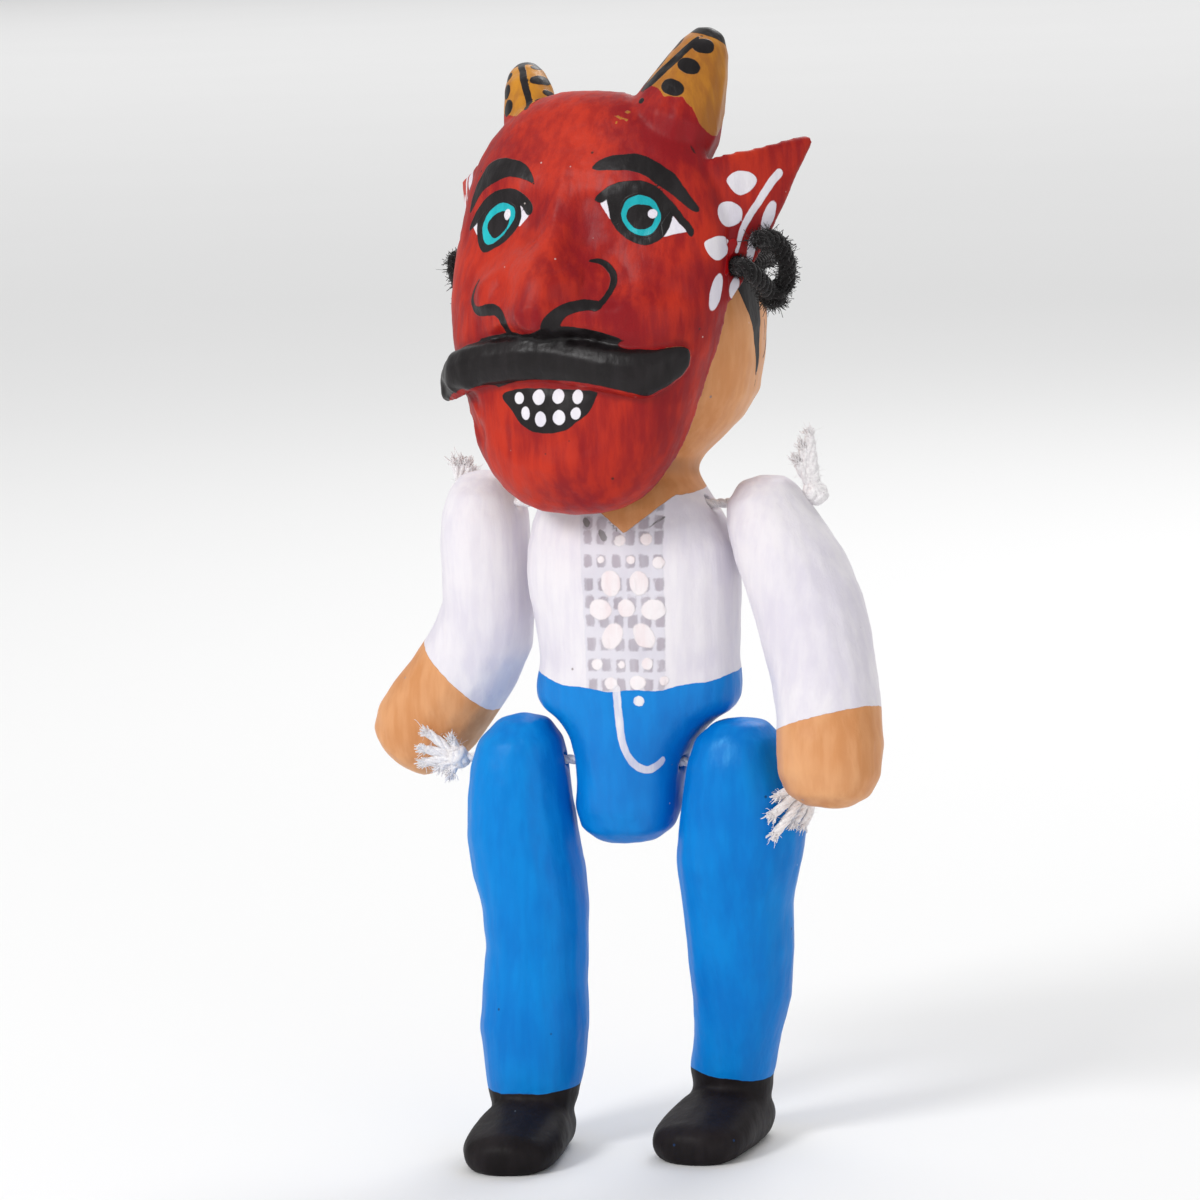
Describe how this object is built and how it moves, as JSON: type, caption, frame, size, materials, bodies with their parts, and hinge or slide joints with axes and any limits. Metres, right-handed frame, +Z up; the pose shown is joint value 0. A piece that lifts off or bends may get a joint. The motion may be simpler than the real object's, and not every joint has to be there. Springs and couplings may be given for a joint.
{
  "type": "papier-mache figure",
  "caption": "Small standing papier-mache doll, moulded and painted, with cord-tied limbs and a horned devil mask tied on in front of its face.",
  "frame": {"origin": "on the ground, under the middle of the overall box", "axes": "+Z up; the doll faces -Y and its own left is +X"},
  "size_m": [0.0996, 0.0598, 0.1966],
  "materials": {
    "body_paint": "papier-mache under satin acrylic: flesh colour, a white shirt and a grey bib",
    "sleeve_paint": "papier-mache under satin white acrylic, with flesh-coloured hands",
    "trouser_paint": "papier-mache under satin blue acrylic, with black shoes",
    "mask_paint": "papier-mache under glossy red acrylic, with painted features",
    "white_cotton": "soft twisted cotton string",
    "black_yarn": "fuzzy black yarn"
  },
  "bodies": {
    "root": {"figure_body": "body_paint", "left_arm": "sleeve_paint", "right_arm": "sleeve_paint", "left_leg": "trouser_paint", "right_leg": "trouser_paint", "mask": "mask_paint", "shoulder_cord": "white_cotton", "hip_cord": "white_cotton", "mask_tie": "black_yarn"}
  },
  "joints": []
}
